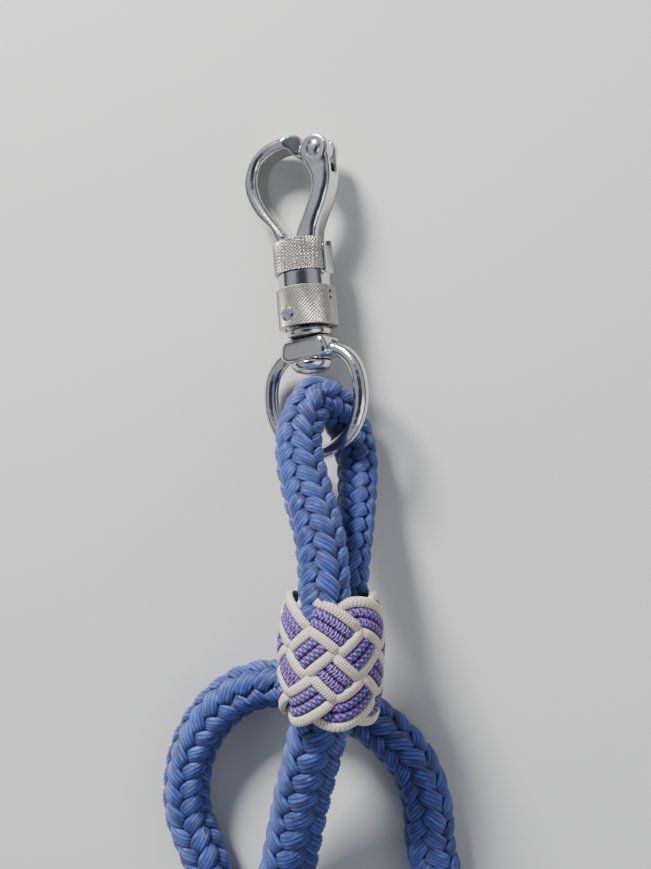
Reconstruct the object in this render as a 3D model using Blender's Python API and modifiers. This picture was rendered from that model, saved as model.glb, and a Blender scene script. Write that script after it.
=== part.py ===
"""A braided rope lead with a swivel snap hook and a Turk's head knot.

+Y runs along the snap towards the hook's tip, +Z is up and z = 0 is the surface that the lead lies on.
The snap lies nose down by a small pitch. Its parts are modelled in the snap's own frame (X across,
Y along the swivel's axis, Z out of the hook's face) and are parented to empties that set pitch and roll.
"""

import math

import bpy
import bmesh
from mathutils import Matrix, Vector

MM = 0.001
GAP = 0.3 * MM

# Driving dimensions of the snap
SLEEVE_RADIUS = 11.0 * MM
PITCH = math.radians(3.5)
SNAP_ROLL = math.radians(14.5)
BOW_ROLL = math.radians(25)
COLLAR_TOP = -2.4 * MM
COLLAR_END = -14.3 * MM
COLLAR_TRAVEL = 5.5 * MM
MOUTH_RADIUS = 8.8 * MM
MOUTH_LIP = 1.6 * MM
BAND_RADIUS = 9.7 * MM
COLLAR_BORE = 10.0 * MM
CORE_RADIUS = 7.4 * MM
CORE_TOP = -5.6 * MM
SHOULDER = -13.8 * MM
TONGUE_RADIUS = 10.7 * MM
TONGUE_INSIDE = 9.2 * MM
TONGUE_WIDTH = 7.0 * MM
TONGUE_TOP = -4.8 * MM
BARREL_TOP = COLLAR_END - COLLAR_TRAVEL - GAP / 2
BARREL_END = -34.3 * MM
BARREL_BORE = 8.8 * MM
SHANK_RADIUS = 8.5 * MM
SCREW_AT = (-3.0 * MM, -29.6 * MM)
SCREW_SHANK_RADIUS = 1.7 * MM
WELL_RADIUS = 2.9 * MM
WELL_FLOOR = 9.6 * MM
STAKES_AT = (-22.4 * MM, -24.8 * MM)
STAKE_RADIUS = 0.7 * MM
STAKE_TURN = math.radians(82)
RIVET_AT = (10.4 * MM, 30.1 * MM)
RIVET_RADIUS = 2.1 * MM
FORK_RADIUS = 5.4 * MM
FORK_DEPTH = 10.2 * MM
SLOT_WIDTH = 4.4 * MM
LUG_WIDTH = 3.8 * MM
GATE_DEPTH = 11.2 * MM
ARM_DEPTH = 9.8 * MM
SEAT_AT = (-3.7 * MM, 32.9 * MM)
SEAT_LENGTH = 5.2 * MM
POST_RADIUS = 3.0 * MM
POST_HOLE = 3.2 * MM
POST_TOP = -25.0 * MM
POST_HEAD_RADIUS = 7.4 * MM
WASHER_RADIUS = 7.8 * MM
WASHER_TOP = -34.8 * MM
WASHER_END = -37.7 * MM
BAR_TOP = -38.2 * MM
BAR_END = -46.6 * MM
BOW_WIRE = 5.2 * MM
BOW_HALF_WIDTH = 20.7 * MM
BOW_BOTTOM = -80.6 * MM
BRIDGE_HALF_WIDTH = 9.6 * MM
BRIDGE_DEPTH = 11.0 * MM
AXIS_HEIGHT = SLEEVE_RADIUS + 0.1 * MM

# Driving dimensions of the rope
ROPE_RADIUS = 9.0 * MM
EYE_RADIUS = 8.3 * MM
FRONT_LEG_RADIUS = 8.8 * MM
REAR_LEG_RADIUS = 7.1 * MM
BURIED_RADIUS = 10.6 * MM
KNOT_RADIUS = 20.0 * MM
KNOT_BORE = 17.4 * MM
KNOT_HEIGHT = 38.9 * MM
KNOT_TOP = (5.0 * MM, -127.0 * MM)
KNOT_END = (-1.0 * MM, -174.0 * MM)
COIL_AT = (11.0 * MM, -358.0 * MM)
COIL_RADIUS = 90.0 * MM
COIL_HEIGHT = 36.4 * MM
WHIPPING_LENGTH = 14 * MM
WHIPPING_RADIUS = 10.4 * MM

# The rope's own route points in millimetres, chosen by hand
EYE_ROUTE = [
    (1.6, -141.0, 46.6),
    (3.8, -125.0, 46.4),
    (3.0, -109.0, 42.2),
    (-0.6, -95.0, 37.2),
    (-3.4, -82.0, 33.0),
    (-3.2, -71.0, 28.6),
    (1.6, -61.2, 21.2),
    (8.0, -65.4, 13.0),
    (11.4, -76.0, 9.3),
    (12.4, -88.0, 10.8),
    (11.6, -104.0, 19.4),
    (9.4, -123.0, 30.2),
    (7.2, -141.0, 31.4),
]
STANDING_ROUTE = [
    (-0.5, -164.0, 37.6),
    (-6.0, -176.0, 34.6),
    (-16.6, -202.0, 25.4),
    (-26.6, -230.0, 17.2),
    (-35.4, -254.0, 12.0),
    (-50.0, -281.0, 9.7),
    (-65.5, -309.0, 9.2),
]
ARCH_ROUTE = [
    (68.9, -289.1, 27.2),
    (61.6, -282.6, 27.2),
    (54.3, -274.8, 26.8),
    (47.6, -266.2, 24.2),
    (40.2, -258.6, 20.8),
    (33.4, -249.2, 16.0),
    (28.0, -238.0, 11.8),
    (25.4, -224.8, 9.4),
    (25.6, -210.0, 9.1),
    (21.4, -194.8, 9.1),
    (9.6, -181.0, 9.1),
    (-6.6, -170.4, 9.1),
    (-24.3, -164.6, 9.1),
    (-40.0, -166.6, 9.1),
    (-53.4, -175.9, 9.1),
    (-62.8, -190.4, 9.1),
    (-66.2, -210.0, 9.1),
    (-61.0, -230.0, 9.1),
    (-59.6, -247.0, 9.1),
    (-62.6, -262.5, 9.6),
    (-68.6, -275.0, 10.6),
    (-74.1, -283.8, 10.7),
    (-79.6, -292.6, 10.7),
]

STEPS_ROUND = 40


def clear_scene():
    for item in list(bpy.data.objects):
        bpy.data.objects.remove(item)


def make_collection(name):
    collection = bpy.data.collections.new(name)
    bpy.context.scene.collection.children.link(collection)
    return collection


clear_scene()
PARTS = make_collection("rope_lead")
CUTTERS = make_collection("cutters")


def make_material(name, colour, roughness, metallic):
    material = bpy.data.materials.new(name)
    material.use_nodes = True
    shader = material.node_tree.nodes["Principled BSDF"]
    shader.inputs["Base Color"].default_value = (*colour, 1)
    shader.inputs["Roughness"].default_value = roughness
    shader.inputs["Metallic"].default_value = metallic
    return material


def steel(name, shade=0.62, roughness=0.16):
    return make_material(name, (shade, shade, shade * 1.01), roughness, 1.0)


def blue_rope(name):
    return make_material(name, (0.10, 0.17, 0.55), 0.6, 0.0)


def make_empty(name, matrix):
    empty = bpy.data.objects.new(name, None)
    empty.empty_display_size = 0.01
    empty.matrix_world = matrix
    PARTS.objects.link(empty)
    return empty


def frame_along_snap(roll):
    """The snap's frame at the sleeve's upper end: pitched nose down, then rolled about its own Y axis."""
    place = Matrix.Translation((0, 0, AXIS_HEIGHT))
    return place @ Matrix.Rotation(-PITCH, 4, "X") @ Matrix.Rotation(-roll, 4, "Y")


SNAP = make_empty("snap_frame", frame_along_snap(SNAP_ROLL))
BOW = make_empty("bow_frame", frame_along_snap(BOW_ROLL))


def new_object(name, data, material=None, collection=None):
    item = bpy.data.objects.new(name, data)
    (collection or PARTS).objects.link(item)
    if material:
        item.data.materials.append(material)
    return item


def place_in(item, frame, offset=(0, 0, 0)):
    item.parent = frame
    item.location = offset
    return item


def as_cutter(item):
    item.hide_render = True
    item.display_type = "WIRE"
    return item


def evaluated_mesh(item):
    bpy.context.view_layer.update()
    graph = bpy.context.evaluated_depsgraph_get()
    return bpy.data.meshes.new_from_object(item.evaluated_get(graph))


def mesh_from(item, name):
    """A plain welded mesh of an object, in that object's own coordinates; the object is removed."""
    mesh = evaluated_mesh(item)
    mesh.name = name
    work = bmesh.new()
    work.from_mesh(mesh)
    bmesh.ops.remove_doubles(work, verts=work.verts, dist=1e-6)
    work.to_mesh(mesh)
    work.free()
    bpy.data.objects.remove(item)
    return mesh


def boolean(item, other, operation):
    modifier = item.modifiers.new(operation.lower(), "BOOLEAN")
    modifier.operation = operation
    modifier.solver = "EXACT"
    modifier.object = other


def smooth(item, angle=35):
    item.data.shade_smooth()
    item.data.set_sharp_from_angle(angle=math.radians(angle))


def turned(name, profile, material=None, collection=None, steps=STEPS_ROUND):
    """Turns a profile of (radius, y) points, listed from +Y to -Y down the outer side, about the Y axis."""
    work = bmesh.new()
    ring = [work.verts.new((radius, 0, y)) for radius, y in profile]
    for first, second in zip(ring, ring[1:] + ring[:1]):
        if first.co.x > 1e-7 or second.co.x > 1e-7:
            work.edges.new((first, second))
    mesh = bpy.data.meshes.new(name)
    work.to_mesh(mesh)
    work.free()
    item = new_object(name, mesh, material, collection)
    screw = item.modifiers.new("turn", "SCREW")
    screw.axis = "Z"
    screw.steps = steps
    screw.render_steps = steps
    screw.use_merge_vertices = True
    screw.merge_threshold = 0.00001
    mesh = mesh_from(item, name)
    mesh.transform(Matrix.Rotation(-math.pi / 2, 4, "X"))
    item = new_object(name, mesh, None, collection)
    smooth(item)
    return item


def turned_ring(name, outer, inner, top, end, material=None, collection=None, steps=STEPS_ROUND, edge=0.0):
    """A plain ring about the Y axis with its outer edges broken by a small chamfer."""
    side = [(outer, top), (outer, end)]
    if edge:
        side = [(outer - edge, top), (outer, top - edge), (outer, end + edge), (outer - edge, end)]
    profile = [(inner, top), *side, (inner, end)]
    return turned(name, profile, material, collection, steps)


def turned_bar(name, radius, top, end, material=None, collection=None, steps=STEPS_ROUND):
    return turned(name, [(0, top), (radius, top), (radius, end), (0, end)], material, collection, steps)


def box_cutter(name, size, centre, frame):
    work = bmesh.new()
    bmesh.ops.create_cube(work, size=1)
    bmesh.ops.scale(work, vec=size, verts=work.verts)
    bmesh.ops.translate(work, vec=centre, verts=work.verts)
    mesh = bpy.data.meshes.new(name)
    work.to_mesh(mesh)
    work.free()
    return place_in(as_cutter(new_object(name, mesh, None, CUTTERS)), frame)


def round_cutter(name, radius, depth, centre, frame, steps=24):
    """A cylinder along the frame's Z axis."""
    work = bmesh.new()
    bmesh.ops.create_cone(
        work, cap_ends=True, segments=steps, radius1=radius, radius2=radius, depth=depth
    )
    bmesh.ops.translate(work, vec=centre, verts=work.verts)
    mesh = bpy.data.meshes.new(name)
    work.to_mesh(mesh)
    work.free()
    return place_in(as_cutter(new_object(name, mesh, None, CUTTERS)), frame)


def smooth_line(points, count):
    """Evenly spread points on a Catmull-Rom curve through the given ones."""
    knots = [Vector(point) for point in points]
    ends = [knots[0] * 2 - knots[1]] + knots + [knots[-1] * 2 - knots[-2]]
    fine = []
    for a, b, c, d in zip(ends, ends[1:], ends[2:], ends[3:]):
        for step in range(20):
            t = step / 20
            curve = 2 * b + (c - a) * t + (2 * a - 5 * b + 4 * c - d) * t ** 2
            fine.append((curve + (3 * b - a - 3 * c + d) * t ** 3) / 2)
    fine.append(knots[-1])
    lengths = [0.0]
    for first, second in zip(fine, fine[1:]):
        lengths.append(lengths[-1] + (second - first).length)
    result = []
    place = 0
    for index in range(count):
        target = lengths[-1] * index / (count - 1)
        while place < len(fine) - 2 and lengths[place + 1] < target:
            place += 1
        span = lengths[place + 1] - lengths[place]
        share = (target - lengths[place]) / span
        result.append(fine[place].lerp(fine[place + 1], min(max(share, 0), 1)))
    return result


def tube(name, points, radius, material=None, collection=None, sides=2, radii=None, closed=False):
    curve = bpy.data.curves.new(name, "CURVE")
    curve.dimensions = "3D"
    curve.bevel_depth = radius
    curve.bevel_resolution = sides
    curve.use_fill_caps = not closed
    spline = curve.splines.new("POLY")
    spline.points.add(len(points) - 1)
    for index, point in enumerate(points):
        spline.points[index].co = (*point, 1)
        if radii:
            spline.points[index].radius = radii[index]
    spline.use_cyclic_u = closed
    return new_object(name, curve, material, collection)


def tube_mesh(name, points, radius, material=None, collection=None, sides=2, radii=None):
    """A tube as a closed mesh, for cutting or joining."""
    mesh = mesh_from(tube(name, points, radius, None, collection, sides, radii), name)
    item = new_object(name, mesh, material, collection)
    smooth(item, 60)
    return item


def plate(name, outline, depth, rounding, material=None, collection=None):
    """A flat outline of (x, y) points, given an even depth along Z and rounded edges."""
    work = bmesh.new()
    low = [work.verts.new((x, y, -depth / 2)) for x, y in outline]
    face = work.faces.new(low)
    raised = bmesh.ops.extrude_face_region(work, geom=[face])
    top = [item for item in raised["geom"] if isinstance(item, bmesh.types.BMVert)]
    bmesh.ops.translate(work, vec=(0, 0, depth), verts=top)
    bmesh.ops.recalc_face_normals(work, faces=work.faces)
    mesh = bpy.data.meshes.new(name)
    work.to_mesh(mesh)
    work.free()
    item = new_object(name, mesh, material, collection)
    if rounding:
        bevel = item.modifiers.new("edges", "BEVEL")
        bevel.width = rounding
        bevel.segments = 2
        bevel.limit_method = "ANGLE"
        bevel.angle_limit = math.radians(60)
    return item


def outline_from(outer, inner, count=14):
    """A closed outline: along the outer points, then back along the inner ones, both as smooth curves."""
    there = [(p.x, p.y) for p in smooth_line([(x * MM, y * MM, 0) for x, y in outer], count)]
    back = [(p.x, p.y) for p in smooth_line([(x * MM, y * MM, 0) for x, y in inner], count)]
    return there + back


def circle_points(centre, radius, start, end, count):
    result = []
    for index in range(count):
        angle = math.radians(start + (end - start) * index / (count - 1))
        result.append((centre[0] + radius * math.cos(angle), centre[1] + radius * math.sin(angle)))
    return result


# Snap body


def make_fixed_jaw():
    """The fixed arm with its forked head, blending into the core that runs down inside the sleeves."""
    head = circle_points(RIVET_AT, FORK_RADIUS, 195, -12, 13)
    right = [(15.7, 24.0), (15.3, 17.3), (11.8, 8.5), (8.4, 2.0), (7.2, -6.6)]
    left = [(-2.4, -6.6), (-0.9, -1.0), (0.7, 2.6), (3.9, 8.6), (6.6, 13.8), (7.8, 18.6)]
    left += [(7.0, 22.4), (5.2, 26.0)]
    down = [(p.x, p.y) for p in smooth_line([(x * MM, y * MM, 0) for x, y in right], 9)]
    up = [(p.x, p.y) for p in smooth_line([(x * MM, y * MM, 0) for x, y in left], 12)]
    arm = plate("fixed_jaw", head + down + up, ARM_DEPTH, 1.9 * MM, steel("jaw_steel"))
    place_in(arm, SNAP)
    ears = round_cutter("fork_ears", FORK_RADIUS, FORK_DEPTH, (*RIVET_AT, 0), SNAP, 32)
    core = turned("snap_core", core_profile(), None, CUTTERS)
    place_in(as_cutter(core), SNAP)
    tongue_root = SHOULDER - 1.5 * MM
    tongue = box_cutter(
        "core_tongue",
        (TONGUE_RADIUS - TONGUE_INSIDE, TONGUE_TOP - tongue_root, TONGUE_WIDTH),
        ((TONGUE_RADIUS + TONGUE_INSIDE) / 2, (TONGUE_TOP + tongue_root) / 2, 0),
        SNAP,
    )
    for addition in (ears, core, tongue):
        boolean(arm, addition, "UNION")
    slot_low = 21.3 * MM
    slot_high = 40 * MM
    slot = box_cutter(
        "fork_slot",
        (24 * MM, slot_high - slot_low, SLOT_WIDTH),
        (10 * MM, (slot_low + slot_high) / 2, 0),
        SNAP,
    )
    hole = round_cutter("fork_hole", RIVET_RADIUS + GAP / 2, 20 * MM, (*RIVET_AT, 0), SNAP)
    post_hole = turned_bar("post_hole", POST_RADIUS + GAP / 2, POST_TOP + GAP, -50 * MM, None, CUTTERS)
    place_in(as_cutter(post_hole), SNAP)
    screw_hole = round_cutter("core_screw_hole", SCREW_SHANK_RADIUS, 6 * MM, (*SCREW_AT, 8.6 * MM), SNAP)
    for cutter in (slot, hole, post_hole, screw_hole):
        boolean(arm, cutter, "DIFFERENCE")
    return arm


def core_profile():
    end = BARREL_END + 0.2 * MM
    step = BARREL_TOP - 1.2 * MM
    return [
        (0, CORE_TOP),
        (CORE_RADIUS, CORE_TOP),
        (CORE_RADIUS, SHOULDER),
        (BAND_RADIUS, SHOULDER),
        (BAND_RADIUS, step),
        (SHANK_RADIUS, step),
        (SHANK_RADIUS, end),
        (0, end),
    ]


def make_gate():
    """The hinged jaw: a deep C that narrows to a flat lug in the fork; its nose sits in the collar."""
    outer = [(-8.3, -2.0), (-9.2, 1.0), (-11.0, 4.8), (-15.6, 10.0), (-19.2, 17.4), (-20.0, 24.6)]
    outer += [(-16.4, 32.2), (-9.6, 36.6), (-1.0, 37.6), (4.6, 37.0)]
    inner = [(4.6, 29.0), (2.4, 28.8), (-1.0, 32.4), (-6.4, 32.8), (-12.2, 30.2), (-14.6, 24.6)]
    inner += [(-14.3, 18.6), (-11.2, 11.6), (-7.2, 5.6), (-4.4, 1.6), (-2.3, -2.0)]
    gate = plate("gate_jaw", outline_from(outer, inner, 18), GATE_DEPTH, 2.0 * MM, steel("gate_steel"))
    gate.data.transform(Matrix.Translation((-RIVET_AT[0], -RIVET_AT[1], 0)))
    place_in(gate, SNAP, (*RIVET_AT, 0))
    away = round_cutter("fork_sweep", FORK_RADIUS + 1.0 * MM, 30 * MM, (*RIVET_AT, 0), SNAP, 40)
    boolean(gate, away, "DIFFERENCE")
    for name, side in (("lug_chamfer_front", 1), ("lug_chamfer_back", -1)):
        chamfer = box_cutter(name, (24 * MM, 24 * MM, 8 * MM), (0, 0, 0), SNAP)
        chamfer.location = (8.4 * MM, 33 * MM, side * 5.7 * MM)
        chamfer.rotation_euler = (0, side * math.radians(22), 0)
        boolean(gate, chamfer, "DIFFERENCE")
    lug_outline = circle_points(RIVET_AT, FORK_RADIUS - 0.5 * MM, 118, -146, 25)
    lug_outline = lug_outline + [(2.0 * MM, 29.8 * MM), (2.0 * MM, 36.2 * MM)]
    lug = plate("gate_lug", lug_outline, LUG_WIDTH, 0, None, CUTTERS)
    place_in(as_cutter(lug), SNAP)
    nose = [(-7.4, 0.0), (-7.4, -2.5), (-4.6, -4.4), (-3.6, -4.4), (-3.6, 0.0)]
    tongue = plate("gate_nose", [(x * MM, y * MM) for x, y in nose], 6 * MM, 0, None, CUTTERS)
    place_in(as_cutter(tongue), SNAP)
    seat = box_cutter(
        "hook_seat_land", (SEAT_LENGTH, 8 * MM, 20 * MM), (SEAT_AT[0], SEAT_AT[1] - 4 * MM, 0), SNAP
    )
    boolean(gate, seat, "DIFFERENCE")
    boolean(gate, lug, "UNION")
    boolean(gate, tongue, "UNION")
    hole = round_cutter("lug_hole", RIVET_RADIUS + GAP / 2, 20 * MM, (*RIVET_AT, 0), SNAP)
    boolean(gate, hole, "DIFFERENCE")
    return gate


def make_rivet():
    head = 1.2 * MM
    face = FORK_DEPTH / 2 + GAP / 2
    rim = 3.0 * MM
    profile = [
        (0, face + head),
        (rim * 0.5, face + head * 0.88),
        (rim * 0.85, face + head * 0.55),
        (rim, face),
        (RIVET_RADIUS, face),
        (RIVET_RADIUS, -face),
        (rim, -face),
        (rim * 0.85, -face - head * 0.55),
        (rim * 0.5, -face - head * 0.88),
        (0, -face - head),
    ]
    rivet = turned("hinge_rivet", profile, None, None, 24)
    rivet.data.transform(Matrix.Rotation(math.pi / 2, 4, "X"))
    rivet.data.materials.append(steel("rivet_steel", 0.68, 0.12))
    return place_in(rivet, SNAP, (*RIVET_AT, 0))


def make_collar():
    """The sliding upper sleeve: knurled outside, with a narrower lip at its mouth that holds the gate."""
    profile = [
        (MOUTH_RADIUS, COLLAR_TOP),
        (SLEEVE_RADIUS - 0.5 * MM, COLLAR_TOP),
        (SLEEVE_RADIUS, COLLAR_TOP - 0.5 * MM),
        (SLEEVE_RADIUS, COLLAR_END + 0.3 * MM),
        (SLEEVE_RADIUS - 0.3 * MM, COLLAR_END),
        (COLLAR_BORE, COLLAR_END),
        (COLLAR_BORE, COLLAR_TOP - MOUTH_LIP),
        (MOUTH_RADIUS, COLLAR_TOP - MOUTH_LIP),
    ]
    collar = turned("lock_collar", profile, None, None, 48)
    collar.data.materials.append(steel("knurled_steel", 0.42, 0.4))
    place_in(collar, SNAP)
    slot = box_cutter(
        "collar_slot",
        (8 * MM, COLLAR_TOP - COLLAR_END + 4 * MM, TONGUE_WIDTH + 1.2 * MM),
        (SLEEVE_RADIUS + 1.2 * MM, (COLLAR_TOP + COLLAR_END) / 2, 0),
        SNAP,
    )
    boolean(collar, slot, "DIFFERENCE")
    return collar


def make_spring():
    """The collar's return spring, wound around the core between the collar's lip and the band's shoulder."""
    wire = 0.45 * MM
    coils = 2.5
    mean = (CORE_RADIUS + COLLAR_BORE) / 2
    top = COLLAR_TOP - MOUTH_LIP - wire - 2 * GAP
    end = SHOULDER + wire + GAP
    points = []
    count = int(16 * coils)
    for index in range(count + 1):
        angle = 2 * math.pi * coils * index / count
        drop = top + (end - top) * index / count
        points.append((mean * math.cos(angle), drop, mean * math.sin(angle)))
    spring = tube("collar_spring", points, wire, steel("spring_steel", 0.5, 0.3), None, 1)
    return place_in(spring, SNAP)


def make_barrel():
    """The fixed lower sleeve, seated under the band, with the screw's well and two small staking holes."""
    barrel = turned_ring(
        "lower_barrel", SLEEVE_RADIUS, BARREL_BORE, BARREL_TOP, BARREL_END, None, None, 48, 0.4 * MM
    )
    barrel.data.materials.append(steel("barrel_steel", 0.42, 0.4))
    place_in(barrel, SNAP)
    seat_end = BARREL_TOP - 1.5 * MM
    seat = turned_bar("band_seat", BAND_RADIUS + GAP / 2, BARREL_TOP + 1 * MM, seat_end, None, CUTTERS)
    well = round_cutter("screw_well", WELL_RADIUS, 8 * MM, (*SCREW_AT, WELL_FLOOR + 4 * MM), SNAP)
    hole = round_cutter("screw_hole", SCREW_SHANK_RADIUS, 12 * MM, (*SCREW_AT, 9 * MM), SNAP)
    for cutter in (place_in(as_cutter(seat), SNAP), well, hole):
        boolean(barrel, cutter, "DIFFERENCE")
    for name, along in zip(("staking_hole_1", "staking_hole_2"), STAKES_AT):
        stake = round_cutter(name, STAKE_RADIUS, 8 * MM, (0, 0, SLEEVE_RADIUS), SNAP, 12)
        stake.location = (0, along, 0)
        stake.rotation_euler = (0, STAKE_TURN, 0)
        boolean(barrel, stake, "DIFFERENCE")
    return barrel


def make_screw():
    """The slotted screw that pins the barrel to the core."""
    floor = WELL_FLOOR + GAP
    profile = [
        (0, floor + 1.1 * MM),
        (1.9 * MM, floor + 0.9 * MM),
        (2.6 * MM, floor + 0.5 * MM),
        (2.6 * MM, floor),
        (1.5 * MM, floor),
        (1.5 * MM, 5.9 * MM),
        (0, 5.9 * MM),
    ]
    screw = turned("barrel_screw", profile, None, None, 24)
    screw.data.transform(Matrix.Rotation(math.pi / 2, 4, "X"))
    screw.data.materials.append(steel("screw_steel", 0.6, 0.2))
    place_in(screw, SNAP, (*SCREW_AT, 0))
    slot = box_cutter("screw_slot", (7 * MM, 0.8 * MM, 1.4 * MM), (*SCREW_AT, floor + 1.1 * MM), SNAP)
    boolean(screw, slot, "DIFFERENCE")
    return screw


def make_post():
    head_top = BAR_END - GAP
    profile = [
        (0, POST_TOP),
        (POST_RADIUS, POST_TOP),
        (POST_RADIUS, head_top),
        (POST_HEAD_RADIUS, head_top),
        (POST_HEAD_RADIUS, head_top - 1.4 * MM),
        (POST_HEAD_RADIUS - 0.9 * MM, head_top - 2.8 * MM),
        (POST_HEAD_RADIUS * 0.5, head_top - 3.7 * MM),
        (0, head_top - 4.0 * MM),
    ]
    post = turned("swivel_post", profile)
    post.data.materials.append(steel("post_steel"))
    return place_in(post, SNAP)


def make_washer():
    washer = turned_ring(
        "swivel_washer", WASHER_RADIUS, POST_HOLE, WASHER_TOP, WASHER_END, None, None, STEPS_ROUND, 0.7 * MM
    )
    washer.data.materials.append(steel("washer_steel"))
    return place_in(washer, SNAP)


def bow_route():
    """The bow's centre line from inside the bar's left end, round the bottom, to inside its right end."""
    middle = BAR_TOP - 18.5 * MM
    side = [(-7.0 * MM, BAR_TOP - 4.0 * MM), (-14.2 * MM, BAR_TOP - 7.0 * MM)]
    side += [(-19.0 * MM, BAR_TOP - 12.4 * MM), (-BOW_HALF_WIDTH, middle - 2.0 * MM)]
    side += [(-19.6 * MM, middle - 10.0 * MM), (-15.2 * MM, middle - 17.4 * MM)]
    side += [(-8.0 * MM, BOW_BOTTOM + 1.7 * MM)]
    mirrored = [(-x, y) for x, y in reversed(side)]
    return side + [(0, BOW_BOTTOM)] + mirrored


def make_bow():
    """The swivel's bow: a round bar bent to a ring, with a flat drilled bridge for the post."""
    route = smooth_line([(x, y, 0) for x, y in bow_route()], 44)
    bow = tube_mesh("swivel_bow", route, BOW_WIRE / 2, steel("bow_steel"), None, 4)
    place_in(bow, BOW)
    half = BRIDGE_HALF_WIDTH
    outline = [(-half, BAR_TOP - 1.0 * MM), (-half + 1.5 * MM, BAR_TOP), (half - 1.5 * MM, BAR_TOP)]
    outline += [(half, BAR_TOP - 1.0 * MM), (half + 1.4 * MM, BAR_END + 1.4 * MM)]
    outline += [(half - 2.2 * MM, BAR_END), (2.2 * MM - half, BAR_END)]
    outline += [(-half - 1.4 * MM, BAR_END + 1.4 * MM)]
    bridge = plate("bow_bridge", outline, BRIDGE_DEPTH, 1.6 * MM, None, CUTTERS)
    place_in(as_cutter(bridge), BOW)
    hole = turned_bar("bow_hole", POST_HOLE, -30 * MM, -50 * MM, None, CUTTERS)
    place_in(as_cutter(hole), BOW)
    boolean(bow, bridge, "UNION")
    boolean(bow, hole, "DIFFERENCE")
    return bow


# Rope


def in_metres(route):
    return [(x * MM, y * MM, z * MM) for x, y, z in route]


def make_rope_eye():
    """The spliced eye: one bend of rope around the bow, both legs running into the knot."""
    count = 40
    line = smooth_line(in_metres(EYE_ROUTE), count)
    radii = []
    for index in range(count):
        share = index / (count - 1)
        front = min(max((0.44 - share) / 0.16, 0), 1)
        rear = min(max((share - 0.56) / 0.16, 0), 1)
        growth = (FRONT_LEG_RADIUS - EYE_RADIUS) * front + (REAR_LEG_RADIUS - EYE_RADIUS) * rear
        radii.append(1 + growth / EYE_RADIUS)
    return tube("rope_eye", line, EYE_RADIUS, blue_rope("eye_blue"), None, 2, radii)


def make_knot():
    """The Turk's head knot as the plain hollow form that its strands fill."""
    top = Vector((*KNOT_TOP, KNOT_HEIGHT))
    end = Vector((*KNOT_END, KNOT_HEIGHT))
    length = (end - top).length
    crown = 1.6 * MM
    profile = [
        (KNOT_BORE, 0),
        (KNOT_RADIUS - crown, 0),
        (KNOT_RADIUS, -4 * MM),
        (KNOT_RADIUS, -length + 4 * MM),
        (KNOT_RADIUS - crown, -length),
        (KNOT_BORE, -length),
    ]
    knot = turned("turks_head_knot", profile, make_material("cream_cord", (0.7, 0.62, 0.5), 0.8, 0))
    knot.location = top
    heading = Vector((top.x - end.x, top.y - end.y, 0))
    knot.rotation_euler = (0, 0, math.atan2(-heading.x, heading.y))
    return knot


def coil_ring(name, grow, material=None, collection=None):
    """The outer shape of the coil, a turned ring on the surface, or a cutter a little larger."""
    inner = COIL_RADIUS - ROPE_RADIUS - grow
    outer = COIL_RADIUS + ROPE_RADIUS + grow
    ring = turned_ring(name, outer, inner, COIL_HEIGHT + grow, -grow, None, collection, 64)
    ring.data.transform(Matrix.Rotation(math.pi / 2, 4, "X"))
    if material:
        ring.data.materials.append(material)
    ring.location = (*COIL_AT, 0)
    return ring


def make_coil():
    ring = coil_ring("rope_coil", 0, blue_rope("coil_blue"))
    ring.data.transform(Matrix.Translation((0, 0, 0.1 * MM)))
    return ring


def make_standing_rope(cutter):
    """From the knot to the coil; its first stretch is thicker, where the splice's tail is buried."""
    line = smooth_line(in_metres(STANDING_ROUTE), 22)
    radii = []
    for point in line:
        taper = min(max((point.y + 0.290) / 0.045, 0), 1)
        radii.append(1 + (BURIED_RADIUS / ROPE_RADIUS - 1) * taper)
    rope = tube_mesh("standing_rope", line, ROPE_RADIUS, blue_rope("standing_blue"), None, 2, radii)
    boolean(rope, cutter, "DIFFERENCE")
    return rope


def make_arch_rope(cutter):
    """From the coil, under the knot and round to the rope's free end."""
    line = smooth_line(in_metres(ARCH_ROUTE), 46)
    rope = tube_mesh("arch_rope", line, ROPE_RADIUS, blue_rope("arch_blue"), None, 2)
    boolean(rope, cutter, "DIFFERENCE")
    return rope


def make_whipping():
    """The binding on the rope's free end."""
    end = Vector(in_metres(ARCH_ROUTE)[-1])
    before = Vector(in_metres(ARCH_ROUTE)[-2])
    heading = (before - end).normalized()
    ring = turned_ring(
        "end_whipping", WHIPPING_RADIUS, ROPE_RADIUS + GAP, WHIPPING_LENGTH, 0, None, None, 24, 0.6 * MM
    )
    ring.data.materials.append(make_material("whipping_cream", (0.72, 0.65, 0.53), 0.8, 0))
    ring.location = end + heading * 2 * MM
    ring.rotation_euler = (0, 0, math.atan2(-heading.x, heading.y))
    return ring


def centre_on_origin(parts):
    """Moves the whole model sideways, so that its origin lies under the middle of these parts."""
    bpy.context.view_layer.update()
    graph = bpy.context.evaluated_depsgraph_get()
    corners = []
    for part in parts:
        shape = part.evaluated_get(graph)
        corners += [shape.matrix_world @ vertex.co for vertex in shape.to_mesh().vertices]
        shape.to_mesh_clear()
    for axis in (0, 1):
        reach = [corner[axis] for corner in corners]
        middle = (min(reach) + max(reach)) / 2
        for item in bpy.data.objects:
            if item.parent is None:
                item.location[axis] -= middle


def main():
    own_parts = [
        make_fixed_jaw(),
        make_gate(),
        make_rivet(),
        make_collar(),
        make_spring(),
        make_barrel(),
        make_screw(),
        make_post(),
        make_washer(),
        make_bow(),
        make_rope_eye(),
        make_knot(),
    ]
    make_coil()
    cutter = as_cutter(coil_ring("coil_clearance", GAP, None, CUTTERS))
    make_standing_rope(cutter)
    make_arch_rope(cutter)
    make_whipping()
    centre_on_origin(own_parts)


main()
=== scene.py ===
"""Looks for the braided rope lead with a locking swivel snap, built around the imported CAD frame."""

import math

import bmesh
import bpy
import numpy as np
from mathutils import Matrix, Vector


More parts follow.
